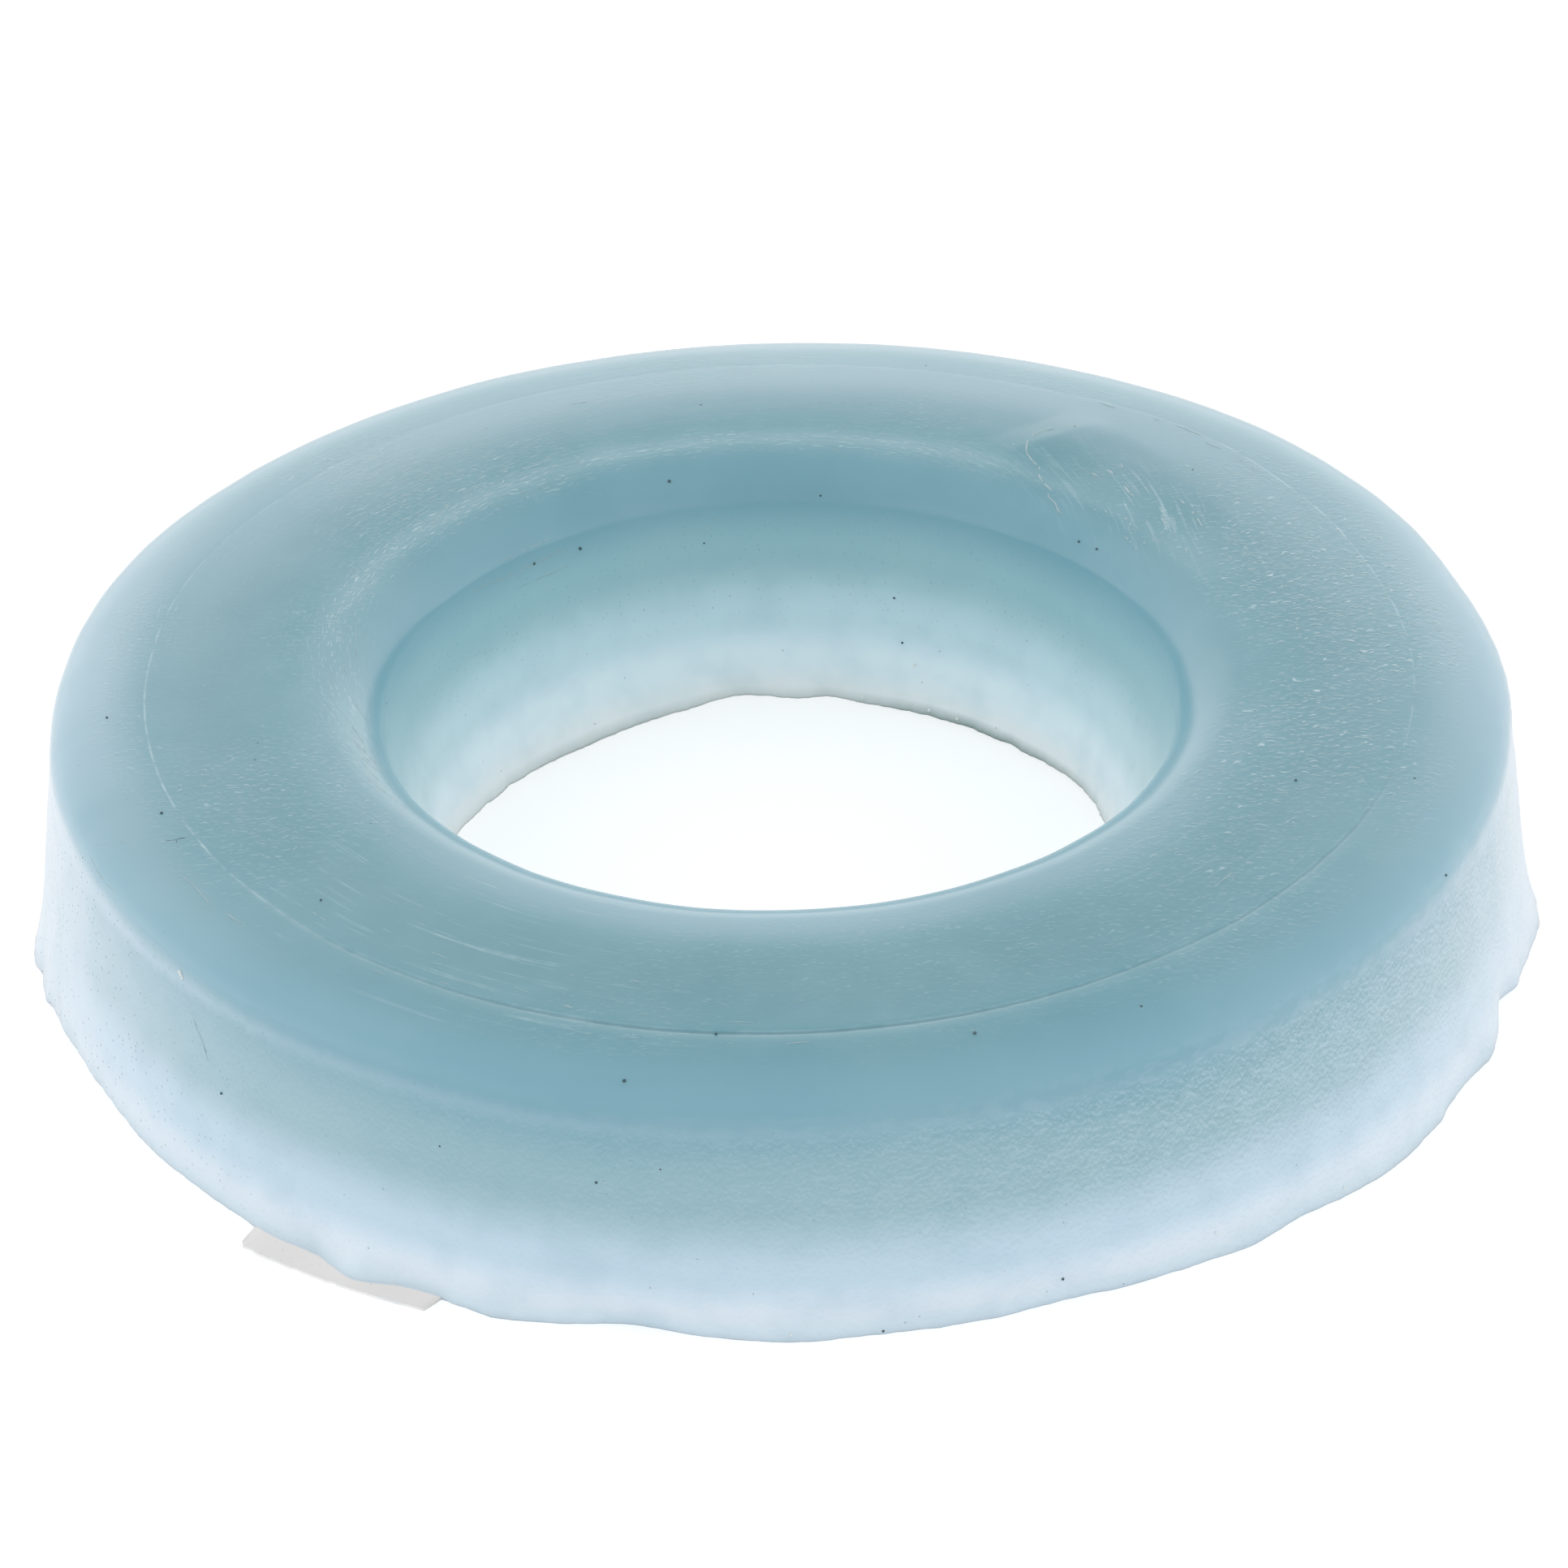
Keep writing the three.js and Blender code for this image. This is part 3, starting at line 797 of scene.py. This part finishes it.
def on_wall(angle, height):
    """The skin's surface and its slope on the outer wall, at a height in millimetres."""
    out = at_angle(angle, 1 / mm).to_3d() + Vector((0, 0, height * mm))
    return wax_surface.ray_cast(out, -at_angle(angle, 1 / mm).to_3d())[:2]


def in_bore(angle, height):
    """The skin's surface and its slope on the bore's wall, at a height in millimetres."""
    axis = Vector((0, 0, height * mm))
    return wax_surface.ray_cast(axis, at_angle(angle, 1 / mm).to_3d())[:2]


def smooth_route(route):
    """Places every step along a smooth line through the given ones, which are an angle and a radius each."""
    keys = [Vector(place) for place in route]
    keys = [2 * keys[0] - keys[1], *keys, 2 * keys[-1] - keys[-2]]
    places = []
    for before, first, second, after in zip(keys, keys[1:], keys[2:], keys[3:]):
        length = (at_angle(*second) - at_angle(*first)).length
        for turn in evenly(0.0, 1.0, max(2, round(length / burr_step))):
            bend = (2 * before - 5 * first + 4 * second - after) * turn ** 2
            twist = (3 * first - before - 3 * second + after) * turn ** 3
            places.append((2 * first + (second - before) * turn + bend + twist) / 2)
    places.append(keys[-2])
    return places


burr_curve = bpy.data.curves.new("wax_burrs", "CURVE")
burr_curve.dimensions = "3D"
burr_curve.bevel_depth = burr_thickness
burr_curve.bevel_resolution = 1
burr_curve.use_fill_caps = True


def lay_burr(curve, route, width, land=on_top, depth=0.5, gaps=1.3):
    """One thread along a route, in widths of the curve's own bevel, thin at its ends and broken by chance."""
    places = smooth_route(route)
    spline = curve.splines.new("POLY")
    spline.points.add(len(places) - 1)
    for index, (point, spot) in enumerate(zip(spline.points, places)):
        share = index / (len(places) - 1)
        chance = noise.noise(Vector((spot.x * 1.3, spot.y * 2.1, width * 10)))
        full = width * max(0.05, min(1.0, 6 * share, 6 * (1 - share)) * (1 - 0.25 * gaps + gaps * chance))
        surface, slope = land(spot.x, spot.y + 0.04 * noise.noise(Vector((spot.x * 3, spot.y * 5, 1.0))))
        point.co = (*(surface - slope * curve.bevel_depth * width * depth), 1.0)
        point.radius = full


# The routes are an angle in degrees and a radius in millimetres, worked out outside this file from points
# picked in the photograph, and some were then moved by eye. First the curl where the finger landed, its
# frayed end and the strokes that it drew, clockwise and inwards.
curl = [
    (54, 47.2), (55.5, 46.9), (57, 46.2), (58, 45.0), (58.3, 43.8), (58, 42.7), (57, 41.3), (55.5, 40.5),
    (54, 40.0), (53, 38.9), (51, 38.1), (49.5, 37.6), (48, 37.0), (46.5, 36.1),
]
frayed_end = [(50.2, 37.5), (49.0, 36.8), (47.6, 36.5), (46.4, 36.0), (45.0, 35.8)]
smear_strokes = [
    (0.9, [(53, 38.9), (52, 37.3)]),
    (0.7, [(59.2, 45.4), (59.6, 42.7), (58.6, 41.0)]),
    (0.9, [(55, 45.6), (53, 45.2)]),
    (1.1, [(53, 48.2), (51, 47.7), (48, 46.6)]),
    (1.3, [(49, 45.6), (45, 44.3), (41, 43.3), (36, 42.0)]),
    (1.2, [(51, 43.2), (49, 42.4), (46, 41.9)]),
    (1.3, [(49, 43.8), (47, 43.4), (45, 43.1)]),
    (1.1, [(45, 43.0), (43, 42.2), (40, 41.4)]),
    (1.0, [(42, 38.4), (39, 38.0)]),
    (1.3, [(40, 39.0), (36, 38.3), (33, 37.6), (27, 36.9)]),
    (1.1, [(37, 37.1), (33, 36.7), (30, 36.4)]),
    (1.3, [(38, 41.8), (34, 40.8), (30, 40.0), (24, 39.2)]),
    (1.1, [(38, 44.2), (33, 43.5), (27, 42.0)]),
    (0.8, [(43, 37.9), (41, 37.6)]),
    (0.9, [(56, 43.5), (52, 41.9), (48, 40.4)]),
]
# Arcs that the mould's rim scored beside the witness line, in front and to the right
rim_arcs = [
    (1.2, [(244, 51.1), (246.4, 51.2), (248.7, 51.7), (250.5, 52.0), (253.5, 52.5)]),
    (1.0, [(252, 54.9), (254.7, 54.9), (257.4, 54.8), (260.9, 54.6)]),
    (0.9, [(263.5, 54.7), (266, 54.7)]),
    (1.0, [(267.4, 54.8), (270.7, 54.7), (273.5, 54.4)]),
    (1.0, [(254.9, 47.8), (256.9, 48.0)]),
    (0.7, [(262, 49.6), (266.3, 50.3)]),
    (0.6, [(258.3, 51.8), (261.8, 52.2), (265.1, 52.1), (269.2, 52.4)]),
    (0.6, [(248.2, 50.1), (252.7, 51.1), (256.6, 51.6)]),
    (0.6, [(238, 52.1), (244.6, 52.1)]),
    (1.1, [(308.5, 49.1), (312.2, 48.8), (316.8, 48.4), (321.2, 48.2)]),
    (1.0, [(208.7, 56.5), (213.6, 55.9), (218.2, 56.4)]),
    (1.3, [(217.6, 56.2), (219.4, 56.0), (220.8, 55.9), (223.3, 55.1)]),
    (1.7, [(61, 52.8), (56, 53.0), (51.6, 53.0), (46.5, 53.6), (42, 53.4)]),
    (1.8, [(44, 52.7), (40, 53.0), (35, 52.6)]),
    (0.8, [(94, 43.6), (91.7, 43.8), (85.6, 44.9), (80.9, 45.3), (76.2, 45.4)]),
]
# The edges of the two lesser marks, and the fan of strokes down the left of the inner shoulder
small_mark_edges = [
    (0.9, [(205.5, 56.9), (204.5, 57.8), (203.2, 59.5), (202.8, 60.3)]),
    (0.9, [(203.7, 59.7), (203.8, 60.3), (206.6, 60.5), (209.5, 60.4)]),
    (0.5, [(120.4, 36.3), (117.7, 35.7), (116.2, 35.2), (115.4, 34.5)]),
    (0.9, [(137.9, 33.6), (131.3, 33.6), (124.9, 33.7)]),
    (0.9, [(146.8, 33.3), (136.9, 33.2), (128.6, 33.2), (121.7, 33.3)]),
    (0.8, [(136, 32.8), (127.4, 32.8), (122.5, 32.8)]),
    (1.0, [(182.4, 36.6), (187.6, 34.9), (191, 34.3)]),
    (1.0, [(188.8, 36.4), (195.4, 35.6), (199.5, 34.8)]),
    (1.2, [(193.7, 36.7), (198.8, 35.8), (205, 35.0)]),
    (1.1, [(204, 37.5), (210.2, 36.7), (216, 36.4)]),
    (0.9, [(198.5, 37.0), (203.6, 36.5), (210.1, 36.2)]),
]
lay_burr(burr_curve, curl, 2.0, depth=0.6, gaps=0.7)
lay_burr(burr_curve, frayed_end, 1.5, gaps=0.5)
for width, route in smear_strokes:
    lay_burr(burr_curve, route, width * 1.5, depth=0.7, gaps=1.5)
for width, route in small_mark_edges:
    lay_burr(burr_curve, route, width, gaps=1.0)
for width, route in rim_arcs:
    lay_burr(burr_curve, route, width * 0.75)
lay_burr(burr_curve, [(220.3, 17.2), (221.4, 14.8), (222.7, 13.0), (224.0, 10.0)], 0.9, on_wall)

# Fibres scattered by chance: how many, the angles and radii that they start in, their turn and their lean
chance = random.Random(11)
fibres = [
    (110, (54, 165), (37.2, 41.5), 2.0, 0.0),
    (40, (30, 57), (37.6, 47.0), -2.4, -0.33),
    (34, (168, 208), (35.6, 37.8), 4, -0.25),
    (40, (106, 160), (40.5, 50.0), 2.2, 0.05),
    (24, (222, 285), (46.0, 55.0), 2.5, 0.03),
]
for count, angles, radii, turn, lean in fibres:
    for _ in range(count):
        angle = chance.uniform(*angles)
        radius = chance.uniform(*radii)
        run = turn * chance.uniform(0.3, 1.2)
        drift = (lean + chance.uniform(-0.05, 0.05)) * abs(math.radians(run)) * radius
        route = [(angle, radius), (angle + run / 2, radius + drift * 0.45), (angle + run, radius + drift)]
        lay_burr(burr_curve, route, chance.uniform(0.35, 0.7))


def mesh_of_curve(curve, name):
    """The curve's threads as a mesh of their own, with its outside facing out."""
    carrier = bpy.data.objects.new(name + "_route", curve)
    mesh = bpy.data.meshes.new_from_object(carrier)
    bpy.data.objects.remove(carrier)
    mesh.name = name
    shape = bmesh.new()
    shape.from_mesh(mesh)
    bmesh.ops.remove_doubles(shape, verts=shape.verts[:], dist=0.001 * mm)
    bmesh.ops.recalc_face_normals(shape, faces=shape.faces[:])
    shape.to_mesh(mesh)
    shape.free()
    for face in mesh.polygons:
        face.use_smooth = True
    mesh.materials.clear()
    return mesh


lifted = bpy.data.materials.new("lifted wax")
lifted.use_nodes = True
lifted_tree = lifted.node_tree
lifted_shader = lifted_tree.nodes["Principled BSDF"]
lifted_place = put(lifted_tree, "ShaderNodeTexCoord").outputs["Object"]
lifted_noise = put(lifted_tree, "ShaderNodeTexNoise", (), {"Vector": lifted_place, "Scale": 700.0}).outputs[0]
lifted_share = crest(lifted_tree, lifted_noise, 0.35, 0.65)
lifted_colour = blend(lifted_tree, lifted_share, wall_tint, burr_tint)
lifted_tree.links.new(lifted_colour, lifted_shader.inputs["Base Color"])
lifted_shader.inputs["Roughness"].default_value = 0.6
make_waxy(lifted_shader)

burr_mesh = mesh_of_curve(burr_curve, "wax_burrs")
burr_mesh.materials.append(lifted)
burrs = bpy.data.objects.new("wax_burrs", burr_mesh)
bpy.context.scene.collection.objects.link(burrs)
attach(burrs, "root")

# The dust
# Dark grains and one short hair that stuck to the soft wax, and a few white crumbs of it.
# Their places were worked out in the same way.
dust_spots = [
    on_top(105.6, 35.0), on_top(130.1, 33.2), on_top(121.7, 33.1), on_top(40.0, 34.5), on_top(36.5, 34.7),
    on_top(258.1, 59.0), on_top(264.3, 53.7), on_top(284.6, 55.6), on_top(329.3, 60.6), on_top(333.6, 46.0),
    on_top(223.7, 49.9), on_top(203.0, 54.0), on_top(186.2, 55.9), on_wall(256.4, 12.6), on_wall(224.8, 9.8),
    on_wall(289.0, 2.1), in_bore(68.4, 6.0),
]
crumb_spots = [
    in_bore(65.8, 4.2), in_bore(74.9, 0.5), in_bore(62.1, 0.5), in_bore(56.3, 0.5), on_wall(312.6, 0.7),
    on_wall(301.0, 2.1), on_wall(269.8, 0.6), on_wall(219.6, 18.0), on_wall(219.75, 17.8),
    on_wall(219.9, 17.6),
]
hair_routes = [
    [(206.8, 55.1), (207.3, 54.5), (207.6, 53.4)],
    [(207.4, 54.3), (207.9, 54.4)],
]
dust_size = 0.13 * mm
crumb_size = 0.16 * mm


def heap_of_grains(name, spots, size):
    """Small round grains, each sunk a little in the skin at its spot."""
    heap = bmesh.new()
    for surface, slope in spots:
        made = bmesh.ops.create_icosphere(heap, subdivisions=2, radius=size * chance.uniform(0.7, 1.2))
        bmesh.ops.translate(heap, verts=made["verts"], vec=surface + slope * size * 0.2)
    mesh = bpy.data.meshes.new(name)
    heap.to_mesh(mesh)
    heap.free()
    for face in mesh.polygons:
        face.use_smooth = True
    return mesh


def grainy(name, first, second):
    """A dull material for dust or crumbs, with its colour broken by a fine noise."""
    material = bpy.data.materials.new(name)
    material.use_nodes = True
    nodes = material.node_tree
    spot = put(nodes, "ShaderNodeTexCoord").outputs["Object"]
    patch = put(nodes, "ShaderNodeTexNoise", (), {"Vector": spot, "Scale": 4000.0}).outputs[0]
    colour = blend(nodes, crest(nodes, patch, 0.4, 0.6), first, second)
    nodes.links.new(colour, nodes.nodes["Principled BSDF"].inputs["Base Color"])
    nodes.nodes["Principled BSDF"].inputs["Roughness"].default_value = 0.75
    return material


hair_curve = bpy.data.curves.new("dust_hair", "CURVE")
hair_curve.dimensions = "3D"
hair_curve.bevel_depth = 0.05 * mm
hair_curve.bevel_resolution = 1
hair_curve.use_fill_caps = True
for route in hair_routes:
    lay_burr(hair_curve, route, 1.0, on_top, 0.0)

dirt = grainy("dust", dust_tint, tint(84, 108, 112))
crumbs = grainy("wax crumb", tint(236, 241, 240), tint(222, 232, 232))
for name, mesh, material in (
    ("dust_grains", heap_of_grains("dust_grains", dust_spots, dust_size), dirt),
    ("dust_hair", mesh_of_curve(hair_curve, "dust_hair"), dirt),
    ("wax_crumbs", heap_of_grains("wax_crumbs", crumb_spots, crumb_size), crumbs),
):
    mesh.materials.append(material)
    bits = bpy.data.objects.new(name, mesh)
    bpy.context.scene.collection.objects.link(bits)
    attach(bits, "root")

# The floor
# A plain white sheet that the ring lies on. The camera and the wax's gloss see it a little lighter
# than it is lit, and it keeps the ring's soft shadow.
floor_width = 6.0
floor_mesh = bpy.data.meshes.new("floor")
floor_shape = bmesh.new()
bmesh.ops.create_grid(floor_shape, x_segments=1, y_segments=1, size=floor_width / 2)
floor_shape.to_mesh(floor_mesh)
floor_shape.free()
floor = bpy.data.objects.new("floor", floor_mesh)
bpy.context.scene.collection.objects.link(floor)

floor_paint = bpy.data.materials.new("white floor")
floor_paint.use_nodes = True
floor_tree = floor_paint.node_tree
floor_tree.nodes.clear()
floor_diffuse = put(floor_tree, "ShaderNodeBsdfDiffuse", (), {"Color": (0.9, 0.9, 0.9, 1)})
floor_ray = put(floor_tree, "ShaderNodeLightPath").outputs
seen_lift = sum_up(floor_tree, "MULTIPLY", floor_ray["Is Camera Ray"], 0.29)
gloss_lift = sum_up(floor_tree, "MULTIPLY", floor_ray["Is Glossy Ray"], 0.10)
lift = sum_up(floor_tree, "ADD", seen_lift, gloss_lift)
floor_lift = put(floor_tree, "ShaderNodeEmission", (), {"Color": (1, 1, 1, 1), "Strength": lift})
floor_parts = {0: floor_diffuse.outputs[0], 1: floor_lift.outputs[0]}
floor_sum = put(floor_tree, "ShaderNodeAddShader", (), floor_parts)
put(floor_tree, "ShaderNodeOutputMaterial", (), {"Surface": floor_sum.outputs[0]})
floor_mesh.materials.append(floor_paint)

# The light
# A white tent: it is brighter at the two sides, and brightest low down behind the ring, where the
# white sheet is swept up. One wide and weak soft lamp hangs high behind the ring.
world = bpy.data.worlds.new("white tent")
bpy.context.scene.world = world
world.use_nodes = True
world_tree = world.node_tree
world_tree.nodes.clear()
even_light = 0.62
side_gain = 0.79
sweep_gain = 0.78
sweep_narrowness = 8.0
towards = put(
    world_tree, "ShaderNodeSeparateXYZ", (), {0: put(world_tree, "ShaderNodeTexCoord").outputs["Generated"]}
).outputs
sideways = sum_up(world_tree, "MULTIPLY", sum_up(world_tree, "ABSOLUTE", towards["X"], 0.0), side_gain)
behind = sum_up(world_tree, "POWER", sum_up(world_tree, "MAXIMUM", towards["Y"], 0.0), sweep_narrowness)
sweep = sum_up(world_tree, "MULTIPLY", behind, sweep_gain)
sky = sum_up(world_tree, "ADD", sum_up(world_tree, "ADD", sideways, sweep), even_light)
seen_sky = put(world_tree, "ShaderNodeLightPath").outputs["Is Camera Ray"]
sky_strength = put(
    world_tree, "ShaderNodeMix", {"data_type": "FLOAT"}, {0: seen_sky, 2: sky, 3: 1.0}
).outputs[0]
tent = put(world_tree, "ShaderNodeBackground", (), {"Color": (1, 1, 1, 1), "Strength": sky_strength})
put(world_tree, "ShaderNodeOutputWorld", (), {"Surface": tent.outputs[0]})

lamp_data = bpy.data.lights.new("soft lamp", "AREA")
lamp_data.shape = "DISK"
lamp_data.size = 0.9
lamp_data.energy = 0.5
lamp = bpy.data.objects.new("soft lamp", lamp_data)
lamp.location = (-0.5, 0.6, 1.2)
lamp.rotation_euler = (Vector((0, 0, 0)) - lamp.location).to_track_quat("-Z", "Y").to_euler()
bpy.context.scene.collection.objects.link(lamp)

bpy.context.scene.view_settings.view_transform = "Standard"
